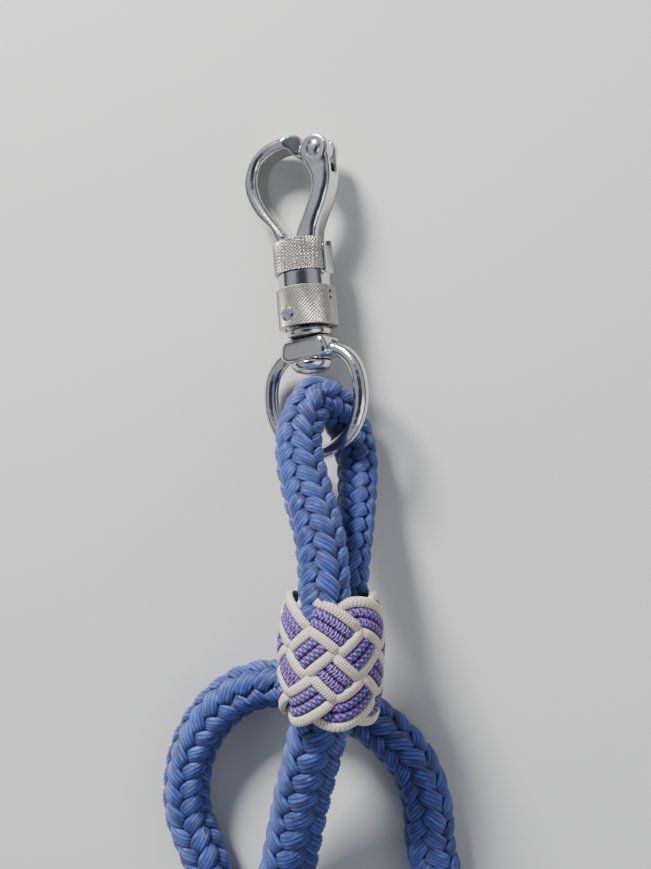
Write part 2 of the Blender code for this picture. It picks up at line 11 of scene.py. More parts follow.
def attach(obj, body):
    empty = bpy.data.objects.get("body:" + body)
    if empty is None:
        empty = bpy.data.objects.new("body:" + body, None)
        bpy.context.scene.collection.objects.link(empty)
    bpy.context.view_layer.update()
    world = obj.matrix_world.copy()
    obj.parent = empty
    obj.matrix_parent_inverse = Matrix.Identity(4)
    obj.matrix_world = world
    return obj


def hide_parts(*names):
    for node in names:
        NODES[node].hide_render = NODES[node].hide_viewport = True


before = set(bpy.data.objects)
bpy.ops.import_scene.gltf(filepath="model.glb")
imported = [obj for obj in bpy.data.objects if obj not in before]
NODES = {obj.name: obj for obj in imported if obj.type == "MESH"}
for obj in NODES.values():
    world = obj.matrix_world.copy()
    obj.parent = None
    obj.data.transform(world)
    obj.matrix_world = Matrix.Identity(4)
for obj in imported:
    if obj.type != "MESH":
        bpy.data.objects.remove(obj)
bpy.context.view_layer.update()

MM = 0.001
TURN = 2 * math.pi

# Camera: looks down, leaning away from plumb, and turned about its own axis
CAMERA_AT = Vector((0.076663, -0.011955, 0.371696))
CAMERA_LEAN = math.radians(12.0)
CAMERA_ROLL = math.radians(5.7)
LENS_MM = 41.43
SENSOR_MM = 36.0

# World: dark at the horizon, a band of bright sky, darker overhead; heights are those of unit directions
WORLD_STRENGTH = 0.55
WORLD_BANDS = [
    (0.0, (0.10, 0.09, 0.08)),
    (0.22, (0.16, 0.16, 0.17)),
    (0.45, (0.85, 0.92, 1.0)),
    (0.80, (0.75, 0.85, 1.0)),
    (0.93, (0.10, 0.12, 0.15)),
    (1.0, (0.06, 0.07, 0.09)),
]

FLOOR_REACH = 20.0
# Lights that face the origin: place, size and power
KEY_LIGHT = ((-0.45, 1.1, 0.75), (0.35, 0.35), 48)
FILL_LIGHT = ((0.9, -0.5, 0.9), (0.9, 0.9), 4)

# Snap: its axis's height above the deck and its dip, and the sleeves' roll about it
SNAP_HEIGHT = 11.1 * MM
SNAP_PITCH = math.radians(3.5)
SNAP_ROLL = math.radians(14.5)

# CAD nodes that are shown, in polished steel
POLISHED = ["fixed_jaw", "gate_jaw", "swivel_bow", "hinge_rivet", "barrel_screw", "collar_spring"]
# Those with softened edges: size of their even faces, rounds of smoothing, and how far they grow back
SOFTENED = {
    "fixed_jaw": (0.35 * MM, 22, 0.15 * MM),
    "gate_jaw": (0.35 * MM, 8, 0.1 * MM),
    "swivel_bow": (0.4 * MM, 40, 0.3 * MM),
}

# Outlines of (radius, y) in millimetres: the swivel's post with its mushroom head, and its washer
POST_HEAD = [
    (0.01, -25.0), (3.0, -25.0), (3.0, -46.9), (7.6, -46.9), (7.6, -48.4), (6.4, -50.2), (3.4, -51.1),
    (0.01, -51.2),
]
WASHER_FORM = [(3.3, -34.7), (8.1, -34.7), (8.7, -36.2), (8.1, -37.8), (3.3, -37.8)]
CORNER_CUT = 0.22

# Knurled sleeves: ends are places along the snap's axis, top first
SLEEVE_RADIUS = 11.0 * MM
COLLAR_ENDS = (-2.4 * MM, -14.3 * MM)
COLLAR_BORE = 10.0 * MM
MOUTH_RADIUS = 8.8 * MM
MOUTH_LIP = 1.1 * MM
SLOT_HALF_ANGLE = math.asin(4.1 / 11)
BARREL_ENDS = (-19.95 * MM, -34.3 * MM)
BARREL_BORE = 8.8 * MM
SEAT_RADIUS = 9.85 * MM
SEAT_DEPTH = 1.5 * MM
KNURLS = 54
KNURL_PITCH = 1.28 * MM
KNURL_DEPTH = 0.42 * MM
KNURL_STEPS = 6
KNURL_FLANK = 1.25
RIM_LENGTH = 0.5 * MM
RIM_DROP = 0.4 * MM

# Holes in the lower sleeve: the screw's well and two staking holes
SCREW_AT = (-3.0 * MM, -29.6 * MM)
WELL_FLOOR = 9.6 * MM
WELL_RADIUS = 2.9 * MM
STAKES_AT = (-22.4 * MM, -24.8 * MM)
STAKE_FLOOR = 9.4 * MM
STAKE_RADIUS = 0.7 * MM
STAKE_TURN = math.radians(82)
CUTTER_TOP = 14 * MM

# Whipping of the free end
TWINE = 1.2 * MM
TWINE_PACKING = 0.96
TWINE_STEPS = 48
TWINE_SIDES = 10
WHIPPING_TURNS = 11
WHIPPING_START = 3 * MM
WHIPPING_REACH = 9.9 * MM

# Rope
ROPE_RADIUS = 9.0 * MM
BURIED_RADIUS = 10.6 * MM
EYE_RADIUS = 8.3 * MM
FRONT_LEG_RADIUS = 8.8 * MM
REAR_LEG_RADIUS = 7.1 * MM
ROPE_LAY = 44 * MM
BURIED_LAY = 51 * MM
EYE_LAY = 36.6 * MM
CARRIERS = 6
# The standing rope holds the buried tail for a share of its way to this point, then thins over another share
SWELLING_POINT = 4
SWELLING_HELD = 0.78
SWELLING_FADE = 0.3
# Shares of the eye's length where its front leg's swelling ends and its rear leg's thinning starts
EYE_FRONT_END = 0.44
EYE_REAR_START = 0.56
EYE_FADE = 0.16
ROUTE_STEPS = 16
EYE_START_AXIS = (0.94, 0, 0.34)
LEAD_START_AXIS = (0.5, 0, 0.87)
ROUTE_SHIFT = np.array((-1.485, 69.318, 0.0)) * MM

# Listed points of the rope's routes, in millimetres from the top of the snap's sleeve
EYE_ROUTE = [
    (1.6, -141, 46.6), (3.8, -125, 46.4), (3, -109, 42.2), (-0.6, -95, 37.2), (-3.4, -82, 33),
    (-3.2, -71, 28.6), (1.6, -61.2, 21.2), (8, -65.4, 13), (11.4, -76, 9.3), (12.4, -88, 10.8),
    (11.6, -104, 19.4), (9.4, -123, 30.2), (7.2, -141, 31.4),
]
STANDING_ROUTE = [
    (-0.5, -164, 37.6), (-6, -176, 34.6), (-16.6, -202, 25.4), (-26.6, -230, 17.2), (-35.4, -254, 12),
    (-50, -281, 9.7), (-65.5, -309, 9.2),
]
ARCH_ROUTE = [
    (68.9, -289.1, 27.2), (61.6, -282.6, 27.2), (54.3, -274.8, 26.8), (47.6, -266.2, 24.2),
    (40.2, -258.6, 20.8), (33.4, -249.2, 16), (28, -238, 11.8), (25.4, -224.8, 9.4), (25.6, -210, 9.1),
    (21.4, -194.8, 9.1), (9.6, -181, 9.1), (-6.6, -170.4, 9.1), (-24.3, -164.6, 9.1),
    (-40, -166.6, 9.1), (-53.4, -175.9, 9.1), (-62.8, -190.4, 9.1), (-66.2, -210, 9.1),
    (-61, -230, 9.1), (-59.6, -247, 9.1), (-62.6, -262.5, 9.6), (-68.6, -275, 10.6),
    (-74.1, -283.8, 10.7), (-79.6, -292.6, 10.7),
]
COIL_AT = (11.0, -358.0)
COIL_RADIUS = 90.0
COIL_LOW = 9.2
COIL_HIGH = 27.2
COIL_START = 165
COIL_TRAVEL = 605
COIL_STEP = 5
COIL_CLIMB = (277, 335)


# Paths


def catmull_rom(points, steps=ROUTE_STEPS):
    """Points on a smooth curve through the given ones."""
    knots = np.array(points, float)
    knots = np.vstack([2 * knots[0] - knots[1], knots, 2 * knots[-1] - knots[-2]])
    t = np.linspace(0, 1, steps, endpoint=False)[:, None]
    pieces = []
    for a, b, c, d in zip(knots, knots[1:], knots[2:], knots[3:]):
        cubic = (3 * b - a - 3 * c + d) * t ** 3
        pieces.append((2 * b + (c - a) * t + (2 * a - 5 * b + 4 * c - d) * t ** 2 + cubic) / 2)
    return np.vstack(pieces + [knots[-2:-1]])


def lengths_along(path):
    """The distance from the path's start to each of its points."""
    return np.concatenate([[0], np.cumsum(np.linalg.norm(np.diff(path, axis=0), axis=1))])


def evenly(path, spacing):
    """The same path with evenly spread points, about the given distance apart."""
    at = lengths_along(path)
    wanted = np.linspace(0, at[-1], max(int(round(at[-1] / spacing)), 2) + 1)
    return np.stack([np.interp(wanted, at, path[:, axis]) for axis in range(3)], axis=1)


def coil_points():
    """The coil's turns: one lap on the surface, then a climb onto that lap."""
    points = []
    for travel in range(0, COIL_TRAVEL, COIL_STEP):
        angle = math.radians(COIL_START + travel)
        share = min(max((travel - COIL_CLIMB[0]) / (COIL_CLIMB[1] - COIL_CLIMB[0]), 0), 1)
        height = COIL_LOW + (COIL_HIGH - COIL_LOW) * share * share * (3 - 2 * share)
        x = COIL_AT[0] + COIL_RADIUS * math.cos(angle)
        y = COIL_AT[1] + COIL_RADIUS * math.sin(angle)
        points.append((x, y, height))
    return points


def route(points):
    """A smooth path in metres through given points in millimetres."""
    return catmull_rom(np.array(points) * MM + ROUTE_SHIFT)


class Line:
    """A path with a direction and two cross axes at every point, which turn as little as they can."""

    def __init__(self, path, start_axis=(0, 0, 1)):
        self.points = evenly(path, 0.5 * MM)
        self.at = lengths_along(self.points)
        self.length = self.at[-1]
        self.tangents = np.gradient(self.points, axis=0)
        self.tangents /= np.linalg.norm(self.tangents, axis=1)[:, None]
        self.first = np.zeros_like(self.points)
        axis = np.array(start_axis, float)
        for index, tangent in enumerate(self.tangents):
            axis = axis - tangent * axis.dot(tangent)
            axis = axis / np.linalg.norm(axis)
            self.first[index] = axis
        self.second = np.cross(self.tangents, self.first)

    def sample(self, values, where):
        return np.stack([np.interp(where, self.at, values[:, axis]) for axis in range(3)], axis=-1)

    def around(self, where, angle, distance):
        """Points at an angle and distance from the path; the ends run straight on."""
        beyond = where - np.clip(where, 0, self.length)
        centre = self.sample(self.points, where) + self.sample(self.tangents, where) * beyond[..., None]
        out = self.sample(self.first, where) * np.cos(angle)[..., None]
        out = out + self.sample(self.second, where) * np.sin(angle)[..., None]
        return centre + out * distance[..., None]


# Meshes


def new_piece(name, mesh, body, material, stands_for=()):
    """A finished mesh as a piece that rides on a body."""
    piece = bpy.data.objects.new(name, mesh)
    bpy.context.scene.collection.objects.link(piece)
    mesh.materials.append(material)
    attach(piece, body)
    if stands_for:
        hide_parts(*stands_for)
    return piece


def add_values(mesh, name, values):
    """A named vector for every vertex, which the materials read."""
    layer = mesh.attributes.new(name, "FLOAT_VECTOR", "POINT")
    layer.data.foreach_set("vector", np.asarray(values, np.float32).ravel())


def mesh_of(name, points, faces, smooth=True):
    mesh = bpy.data.meshes.new(name)
    mesh.from_pydata(points.tolist(), [], faces)
    mesh.polygons.foreach_set("use_smooth", [smooth] * len(mesh.polygons))
    return mesh


def strip_faces(rows, columns, start):
    """Faces of a closed tube of rows of points, with both ends capped."""
    row, column = np.meshgrid(np.arange(rows - 1), np.arange(columns), indexing="ij")
    following = (column + 1) % columns
    corners = [
        row * columns + column,
        row * columns + following,
        (row + 1) * columns + following,
        (row + 1) * columns + column,
    ]
    faces = (np.stack(corners, axis=-1).reshape(-1, 4) + start).tolist()
    last = start + (rows - 1) * columns
    faces.append([start + index for index in reversed(range(columns))])
    faces.append([last + index for index in range(columns)])
    return faces


# Braid

YARNS = 5
STEPS_PER_CROSSING = 5
STRAND_DEPTH = 2.3 * MM
STRAND_CROWN = 0.55 * MM
STRAND_EDGE = 0.9 * MM
STRAND_BULGE = 0.75 * MM
STRAND_FULLNESS = 1.14
YARN_LOBE = 0.34 * MM
OVER_SHARPNESS = 2.2
FLOAT_SPREAD = 0.06


def strand_section():
    """Heights across a strand: places from -1 to 1, and how far each lies below its crown."""
    across = np.linspace(-1, 1, 2 * YARNS + 1)
    height = -STRAND_CROWN * np.abs(across) ** 2.2 - STRAND_EDGE * np.abs(across) ** 8
    height[1::2] += YARN_LOBE
    return across, height


def braid_strand(line, grids, outer, turns, carrier, turn):
    """One strand's points and the parts of its two vertex vectors; it winds one way (1) or the other (-1)."""
    across, height = strand_section()
    slope = np.arctan(TURN * outer * np.gradient(turns, grids))
    start = 0.5 if turn > 0 else 1.5
    phase = 2 * CARRIERS * turns + 2 * carrier * turn - start
    swing = np.cos(math.pi / 2 * phase)
    over = np.tanh(OVER_SHARPNESS * swing) / math.tanh(OVER_SHARPNESS)
    width = (STRAND_FULLNESS + FLOAT_SPREAD * over) * TURN * outer / CARRIERS * np.cos(slope)
    side = across[None, :] * width[:, None] / 2
    along = grids[:, None] - side * np.sin(slope)[:, None]
    angle = TURN * (carrier / CARRIERS + turn * turns)[:, None]
    angle = angle + turn * side * np.cos(slope)[:, None] / outer[:, None]
    crown = outer - STRAND_DEPTH * (1 - over) / 2 - STRAND_BULGE * (1 - np.maximum(swing, 0))
    points = line.around(along, angle, crown[:, None] + height)
    blank = np.zeros_like(side)
    length = (grids / np.cos(slope))[:, None] + blank
    yarn = (across[None, :] + 1) / 2 * YARNS + blank
    number = carrier + (0 if turn > 0 else CARRIERS) + blank
    place = (np.mod(phase + 2, 4) / 2 - 1)[:, None] + blank
    return points, [length, yarn, number], [place, across + blank, over[:, None] + blank]


def braid(name, line, radius, twist, grids):
    """A braided rope whose strands pass over two and under two; radius and twist (turns) go by distance."""
    outer = radius(grids)
    turns = twist(grids)
    points, yarns, floats, faces = [], [], [], []
    for turn in (1, -1):
        for carrier in range(CARRIERS):
            spots, yarn_parts, float_parts = braid_strand(line, grids, outer, turns, carrier, turn)
            faces += strip_faces(*spots.shape[:2], sum(len(part) for part in points))
            points.append(spots.reshape(-1, 3))
            yarns.append(np.stack(yarn_parts, axis=-1).reshape(-1, 3))
            floats.append(np.stack(float_parts, axis=-1).reshape(-1, 3))
    mesh = mesh_of(name, np.vstack(points), faces)
    add_values(mesh, "yarn", np.vstack(yarns))
    add_values(mesh, "float", np.vstack(floats))
    return mesh


def stations(length, lay):
    """Distances along a rope at which its strands have points."""
    return np.arange(0, length, lay / (2 * CARRIERS * STEPS_PER_CROSSING))


# Turk's head knot: one path with five leads and six bights, followed by a band of four cords

KNOT_TOP = Vector((5.2, -125.4, 38.9)) * MM + Vector(ROUTE_SHIFT)
KNOT_END = Vector((-0.8, -172.4, 38.9)) * MM + Vector(ROUTE_SHIFT)
FLECK_PITCH = 1.9 * MM
LEADS = 5
BIGHTS = 6
BIGHT_ANGLE = math.radians(-13)
BIGHT_SHARPNESS = 0.82
BAND_REACH = 15.4 * MM
KNOT_MIDDLE = 15.9 * MM
KNOT_BARREL = 0.9 * MM
CORD_LIFT = 1.35 * MM
CREAM_WIDTH = 3.4 * MM
PATTERN_WIDTH = 3.2 * MM
CORD_DEPTH = 2.5 * MM
CORD_SQUARENESS = 0.8
CORD_STEPS = 780
CORD_SIDES = 12
CROSSING_SHARPNESS = 2.0


def crossing_height(phase):
    """How far up (1) or down (-1) the band is, at a phase from 0 to 10: the crossings are at 1-4 and 6-9."""
    places = np.array([-1, 1, 2, 3, 4, 6, 7, 8, 9, 11])
    heights = np.array([-1, 1, -1, 1, -1, 1, -1, 1, -1, 1])
    index = np.clip(np.searchsorted(places, phase, side="right") - 1, 0, len(places) - 2)
    share = (phase - places[index]) / (places[index + 1] - places[index])
    swing = np.cos(math.pi * share)
    return heights[index] * np.tanh(CROSSING_SHARPNESS * swing) / math.tanh(CROSSING_SHARPNESS)


class KnotForm:
    """The barrel form that the band lies on: a turn and a height along its axis give a point."""

    def __init__(self):
        self.axis = np.array((KNOT_TOP - KNOT_END).normalized())
        self.up = np.array((0.0, 0.0, 1.0))
        self.right = np.cross(self.axis, self.up)
        self.centre = np.array((KNOT_TOP + KNOT_END) / 2)

    def point(self, turn, height, lift):
        radius = KNOT_MIDDLE - KNOT_BARREL * (height / BAND_REACH) ** 2 + lift
        out = np.cos(turn)[..., None] * self.up + np.sin(turn)[..., None] * self.right
        return self.centre + self.axis * height[..., None] + out * radius[..., None]


def cord_rows(form, offset, width):
    """Rows of points around one cord of the band, offset sideways from the band's middle."""
    t = np.linspace(0, TURN, CORD_STEPS, endpoint=False)
    turn = LEADS * t + BIGHT_ANGLE
    wave = BIGHT_SHARPNESS * np.cos(BIGHTS * t)
    full = BAND_REACH / math.asin(BIGHT_SHARPNESS)
    height = full * np.arcsin(wave)
    around = np.full_like(t, LEADS * KNOT_MIDDLE)
    down = -full * BIGHT_SHARPNESS * BIGHTS * np.sin(BIGHTS * t) / np.sqrt(1 - wave ** 2)
    speed = np.hypot(around, down)
    side = np.stack([-down / speed, around / speed], axis=1)
    phase = np.mod(BIGHTS * t * LEADS / math.pi, 2 * LEADS)
    lift = CORD_LIFT * crossing_height(phase)
    spin = np.linspace(0, TURN, CORD_SIDES, endpoint=False)
    across = np.sign(np.cos(spin)) * np.abs(np.cos(spin)) ** CORD_SQUARENESS * width / 2
    above = np.sign(np.sin(spin)) * np.abs(np.sin(spin)) ** CORD_SQUARENESS * CORD_DEPTH / 2
    shift = offset + across[None, :]
    turns = turn[:, None] + side[:, :1] * shift / KNOT_MIDDLE
    heights = height[:, None] + side[:, 1:] * shift
    points = form.point(turns, heights, lift[:, None] + above[None, :])
    length = np.concatenate([[0], np.cumsum(speed[:-1] * np.diff(t))])
    blank = np.zeros((len(t), len(spin)))
    parts = [length[:, None] + blank, across * 2 / width + blank, above / CORD_DEPTH + blank]
    return points, np.stack(parts, axis=-1)


def loop_faces(rows, columns):
    """Faces of a tube that closes on itself."""
    row, column = np.meshgrid(np.arange(rows), np.arange(columns), indexing="ij")
    below, beside = (row + 1) % rows, (column + 1) % columns
    corners = [
        row * columns + column,
        row * columns + beside,
        below * columns + beside,
        below * columns + column,
    ]
    return np.stack(corners, axis=-1).reshape(-1, 4).tolist()


def make_knot(cream, pattern):
    """The knot's four cords, side by side, each of them one closed loop."""
    form = KnotForm()
    inner = PATTERN_WIDTH / 2
    outer = PATTERN_WIDTH + CREAM_WIDTH / 2
    band = [
        (-outer, CREAM_WIDTH, cream),
        (-inner, PATTERN_WIDTH, pattern),
        (inner, PATTERN_WIDTH, pattern),
        (outer, CREAM_WIDTH, cream),
    ]
    for index, (offset, width, material) in enumerate(band):
        points, values = cord_rows(form, offset, width)
        rows, columns = points.shape[:2]
        name = f"knot_cord_{index + 1}"
        mesh = mesh_of(name, points.reshape(-1, 3), loop_faces(rows, columns))
        add_values(mesh, "weave", values.reshape(-1, 3))
        new_piece(name, mesh, "lead", material, ("turks_head_knot",) if index == 0 else ())


# Materials


def new_material(name, colour, roughness, metallic=0.0):
    material = bpy.data.materials.new(name)
    material.use_nodes = True
    shader = material.node_tree.nodes["Principled BSDF"]
    shader.inputs["Base Color"].default_value = (*colour, 1)
    shader.inputs["Roughness"].default_value = roughness
    shader.inputs["Metallic"].default_value = metallic
    return material


class Recipe:
    """Builds one material's nodes: inputs may be sockets or numbers."""

    def __init__(self, name, roughness, metallic=0.0):
        self.material = new_material(name, (0.5, 0.5, 0.5), roughness, metallic)
        self.tree = self.material.node_tree
        self.shader = self.tree.nodes["Principled BSDF"]

    def connect(self, value, socket):
        if isinstance(value, (int, float)):
            socket.default_value = value
        else:
            self.tree.links.new(value, socket)

    def math(self, operation, first, second=0.0, third=0.0):
        node = self.tree.nodes.new("ShaderNodeMath")
        node.operation = operation
        for value, socket in zip((first, second, third), node.inputs):
            self.connect(value, socket)
        return node.outputs[0]

    def times(self, first, second):
        return self.math("MULTIPLY", first, second)

    def attribute(self, name):
        """The three values of a named vertex vector."""
        source = self.tree.nodes.new("ShaderNodeAttribute")
        source.attribute_name = name
        split = self.tree.nodes.new("ShaderNodeSeparateXYZ")
        self.tree.links.new(source.outputs["Vector"], split.inputs[0])
        return split.outputs

    def position(self):
        source = self.tree.nodes.new("ShaderNodeTexCoord")
        split = self.tree.nodes.new("ShaderNodeSeparateXYZ")
        self.tree.links.new(source.outputs["Object"], split.inputs[0])
        return split.outputs

    def noise(self, x, y, z, scale=1.0, detail=2.0):
        join = self.tree.nodes.new("ShaderNodeCombineXYZ")
        for value, socket in zip((x, y, z), join.inputs):
            self.connect(value, socket)
        node = self.tree.nodes.new("ShaderNodeTexNoise")
        node.inputs["Scale"].default_value = scale
        node.inputs["Detail"].default_value = detail
        self.tree.links.new(join.outputs[0], node.inputs["Vector"])
        return node.outputs[0]

    def step(self, value, low, high):
        """0 below low, 1 above high, smooth between."""
        node = self.tree.nodes.new("ShaderNodeMapRange")
        node.interpolation_type = "SMOOTHSTEP"
        self.connect(value, node.inputs["Value"])
        node.inputs["From Min"].default_value = low
        node.inputs["From Max"].default_value = high
        return node.outputs[0]

    def mix(self, share, first, second):
        node = self.tree.nodes.new("ShaderNodeMix")
        node.data_type = "RGBA"
        self.connect(share, node.inputs[0])
        for value, socket in ((first, node.inputs[6]), (second, node.inputs[7])):
            if isinstance(value, tuple):
                socket.default_value = (*value, 1)
            else:
                self.tree.links.new(value, socket)
        return node.outputs[2]

    def tint(self, colour, mask, strength, shade):
        """The colour, with up to a given share of an sRGB shade over it where the mask is high."""
        return self.mix(self.times(mask, strength), colour, from_srgb(*shade))

    def colour(self, value):
        self.tree.links.new(value, self.shader.inputs["Base Color"])

    def roughness(self, value):
        self.tree.links.new(value, self.shader.inputs["Roughness"])

    def bump(self, height, distance):
        node = self.tree.nodes.new("ShaderNodeBump")
        node.inputs["Distance"].default_value = distance
        self.connect(height, node.inputs["Height"])
        self.tree.links.new(node.outputs[0], self.shader.inputs["Normal"])


def from_srgb(red, green, blue):
    """A linear colour from an sRGB one of 0 to 255."""
    return tuple((value / 255) ** 2.2 for value in (red, green, blue))


def rope_material():
    """Silky blue yarns with darker ones among them; painted shade darkens the ends of floats where a strand
    dives under, the grooves between yarns and the strand where it lies under, and painted sheen lightens
    streaks along the fibres.
    """
    recipe = Recipe("rope_blue", 0.32)
    length, yarn, strand = recipe.attribute("yarn")
    place, _, over = recipe.attribute("float")
    yarn_number = recipe.math("FLOOR", yarn)
    within = recipe.math("ABSOLUTE", recipe.math("SUBTRACT", recipe.math("FRACT", yarn), 0.5))
    groove_shade = recipe.step(within, 0.24, 0.5)
    along = recipe.times(length, 70)
    patch = recipe.noise(along, recipe.times(yarn_number, 3.7), recipe.times(strand, 5.3), 1.0, 1.0)
    fibre = recipe.noise(recipe.times(length, 260), recipe.times(yarn, 6.0), strand, 1.0, 3.0)
    colour = recipe.mix(recipe.step(patch, 0.38, 0.62), from_srgb(50, 68, 148), from_srgb(82, 110, 202))
    # Painted shade: each float's ends, where the strand dives under its neighbours, are tinted dark
    # navy-purple.
    ends = recipe.step(recipe.math("ABSOLUTE", place), 0.2, 0.5)
    colour = recipe.tint(colour, ends, 0.55, (48, 46, 92))
    # Painted sheen: where the fibre noise is high, the yarn is lightened towards pale blue; the same noise
    # also shapes the fibres' bump.
    colour = recipe.tint(colour, recipe.step(fibre, 0.45, 0.7), 0.35, (104, 134, 212))
    tracer = recipe.step(patch, 0.52, 0.62)
    colour = recipe.tint(colour, tracer, 0.8, (46, 44, 82))
    # Painted shade: the grooves between yarns are tinted deep navy.
    colour = recipe.tint(colour, groove_shade, 0.9, (24, 28, 64))
    # Painted shade: where the strand lies under the crossing strands it is tinted dark.
    buried_shade = recipe.step(recipe.times(over, -1.0), -0.75, 0.3)
    colour = recipe.tint(colour, buried_shade, 0.7, (36, 36, 66))
    recipe.colour(colour)
    fine = recipe.noise(recipe.times(length, 500), recipe.times(yarn, 16.0), strand, 1.0, 2.0)
    recipe.bump(recipe.math("ADD", fibre, fine), 0.28 * MM)
    recipe.shader.inputs["Sheen Weight"].default_value = 0.25
    recipe.shader.inputs["Sheen Tint"].default_value = (0.6, 0.7, 1, 1)
    return recipe.material


def stitch(recipe, along, across, pitch, lean):
    """A wave along a cord whose lines lean outwards from its middle, like the ridges of a flat braid."""
    rise = recipe.times(recipe.math("ABSOLUTE", across), lean)
    wave = recipe.math("ADD", recipe.times(along, TURN / pitch), rise)
    return recipe.math("SINE", wave)


def cream_material():
    """Cream cord with fine ridges and a little loose fibre, with painted light on the ridges' tops and
    painted shade in the valleys between them.
    """
    recipe = Recipe("cord_cream", 0.8)
    along, across, above = recipe.attribute("weave")
    ridge = stitch(recipe, along, across, 0.9 * MM, 3.6)
    edge = recipe.step(recipe.math("ABSOLUTE", across), 0.0, 0.12)
    height = recipe.times(recipe.math("MULTIPLY_ADD", ridge, 0.5, 0.5), edge)
    fibre = recipe.noise(recipe.times(along, 900), recipe.times(across, 7), above, 1.0, 3.0)
    # Painted light and shade: the cream is lighter on the ridges' tops and darker in the valleys between
    # them; the fibre tint below is the cord's own colour.
    colour = recipe.mix(recipe.step(height, 0.0, 0.6), from_srgb(176, 164, 146), from_srgb(220, 210, 192))
    colour = recipe.tint(colour, recipe.step(fibre, 0.5, 0.75), 0.3, (160, 146, 126))
    recipe.colour(colour)
    recipe.bump(recipe.math("ADD", height, recipe.times(fibre, 0.4)), 0.12 * MM)
    return recipe.material


def pattern_material():
    """A dark cord with slanting magenta flecks and a row of turquoise dots."""
    recipe = Recipe("cord_pattern", 0.6)
    along, across, _ = recipe.attribute("weave")
    wave = recipe.math("ADD", recipe.times(along, TURN / FLECK_PITCH), recipe.times(across, 3.6))
    fleck = recipe.step(recipe.math("SINE", wave), -0.1, 0.5)
    ridge = stitch(recipe, along, across, FLECK_PITCH / 2, 2.4)
    row = recipe.times(recipe.math("SIGN", across), 0.25)
    repeat = recipe.math("FRACT", recipe.math("ADD", recipe.times(along, 1 / FLECK_PITCH), row))
    from_dot = recipe.math("ABSOLUTE", recipe.math("SUBTRACT", repeat, 0.5))
    sideways = recipe.math("ABSOLUTE", recipe.math("SUBTRACT", recipe.math("ABSOLUTE", across), 0.34))
    dot = recipe.math("ADD", recipe.times(from_dot, 2.4), recipe.times(sideways, 2.0))
    dot = recipe.step(recipe.times(dot, -1.0), -0.8, -0.4)
    colour = recipe.mix(recipe.times(fleck, 0.8), from_srgb(62, 56, 122), from_srgb(158, 70, 150))
    colour = recipe.tint(colour, dot, 0.9, (78, 160, 205))
    edge = recipe.step(recipe.math("ABSOLUTE", across), 0.86, 1.0)
    colour = recipe.mix(edge, colour, from_srgb(24, 22, 38))
    recipe.colour(colour)
    recipe.bump(recipe.math("ADD", ridge, recipe.times(fleck, 0.6)), 0.15 * MM)
    return recipe.material


def steel_material(name, shade, low, high):
    """Polished steel with cloudy polish marks and fine scratches."""
    recipe = Recipe(name, low, 1.0)
    x, y, z = recipe.position()
    cloud = recipe.noise(x, y, z, 160.0, 3.0)
    scratch = recipe.noise(recipe.times(x, 2600), recipe.times(y, 260), recipe.times(z, 900), 1.0, 4.0)
    recipe.colour(recipe.mix(cloud, tuple(0.82 * value for value in shade), shade))
    recipe.roughness(recipe.math("MULTIPLY_ADD", cloud, high - low, low))
    recipe.bump(scratch, 0.02 * MM)
    return recipe.material


def knurl_material():
    """Satin steel, a little cloudy, for the two knurled sleeves."""
    recipe = Recipe("steel_knurled", 0.36, 1.0)
    x, y, z = recipe.position()
    cloud = recipe.noise(x, y, z, 400.0, 3.0)
    recipe.colour(recipe.mix(cloud, (0.40, 0.375, 0.34), (0.54, 0.51, 0.47)))
    recipe.bump(recipe.noise(x, y, z, 4000.0, 2.0), 0.01 * MM)
    return recipe.material


# Pieces


def make_lead_rope(material, whipping):
    """The lead from the knot through the coil to its end, thicker where it holds the splice's tail."""
    free = evenly(route(STANDING_ROUTE + coil_points() + ARCH_ROUTE), 1 * MM)
    line = Line(free, LEAD_START_AXIS)
    swelling = lengths_along(route(STANDING_ROUTE))[SWELLING_POINT * ROUTE_STEPS]

    def share_buried(where):
        return np.clip(1 - (where - swelling * SWELLING_HELD) / (swelling * SWELLING_FADE), 0, 1)

    def radius(where):
        return ROPE_RADIUS + (BURIED_RADIUS - ROPE_RADIUS) * share_buried(where)

    per_metre = 1 / ROPE_LAY + (1 / BURIED_LAY - 1 / ROPE_LAY) * share_buried(line.at)
    turned = np.concatenate([[0], np.cumsum((per_metre[1:] + per_metre[:-1]) / 2 * np.diff(line.at))])
    grids = stations(line.length, ROPE_LAY)
    mesh = braid("lead_rope", line, radius, lambda where: np.interp(where, line.at, turned), grids)
    hidden = ("standing_rope", "rope_coil", "arch_rope")
    rope = new_piece("lead_rope", mesh, "lead", material, hidden)


def make_rope_eye(material):
    """The eye's front leg swells towards the knot and its rear leg thins."""
    line = Line(route(EYE_ROUTE), EYE_START_AXIS)

    def radius(where):
        share = where / line.length
        front = np.clip((EYE_FRONT_END - share) / EYE_FADE, 0, 1)
        rear = np.clip((share - EYE_REAR_START) / EYE_FADE, 0, 1)
        return EYE_RADIUS + (FRONT_LEG_RADIUS - EYE_RADIUS) * front + (REAR_LEG_RADIUS - EYE_RADIUS) * rear

    grids = stations(line.length, EYE_LAY)
    mesh = braid("eye_rope", line, radius, lambda where: where / EYE_LAY, grids)
    new_piece("eye_rope", mesh, "lead", material, ("rope_eye",))


def remesh(node, voxel, rounds, growth):
    """Even small faces and softly rounded edges on a CAD node, grown back by what the rounding takes off."""
    even = node.modifiers.new("even", "REMESH")
    even.mode = "VOXEL"
    even.voxel_size = voxel
    even.use_smooth_shade = True
    soften = node.modifiers.new("soften", "SMOOTH")
    soften.factor = 0.5
    soften.iterations = rounds
    grow = node.modifiers.new("grow", "DISPLACE")
    grow.mid_level = 0
    grow.strength = growth


def dress(node, material):
    node.data.materials.clear()
    node.data.materials.append(material)


